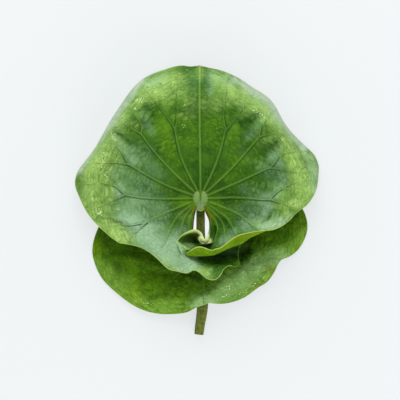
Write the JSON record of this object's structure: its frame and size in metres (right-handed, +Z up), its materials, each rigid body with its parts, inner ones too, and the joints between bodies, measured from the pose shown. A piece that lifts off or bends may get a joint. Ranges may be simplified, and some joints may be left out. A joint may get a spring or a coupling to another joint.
{
  "type": "lotus leaf",
  "caption": "Cut lotus leaf lying on its back: a shield-shaped ribbed blade with a rolled basal lobe, a second blade behind it and the stalk that carries both.",
  "frame": {"origin": "middle of the footprint of the lying leaf, on the surface that it rests on", "axes": "+Z up from the surface, +Y from the cut end of the stem towards the tip of the upper blade, +X to the right as seen from above"},
  "size_m": [0.2444, 0.2706, 0.0604],
  "materials": {
    "upper_blade": "waxy living leaf, matte with a bluish bloom",
    "lower_blade": "waxy living leaf, matte",
    "stem": "olive green, finely warty"
  },
  "bodies": {
    "root": {"upper_blade": "upper_blade", "lower_blade": "lower_blade", "stem": "stem"}
  },
  "joints": []
}
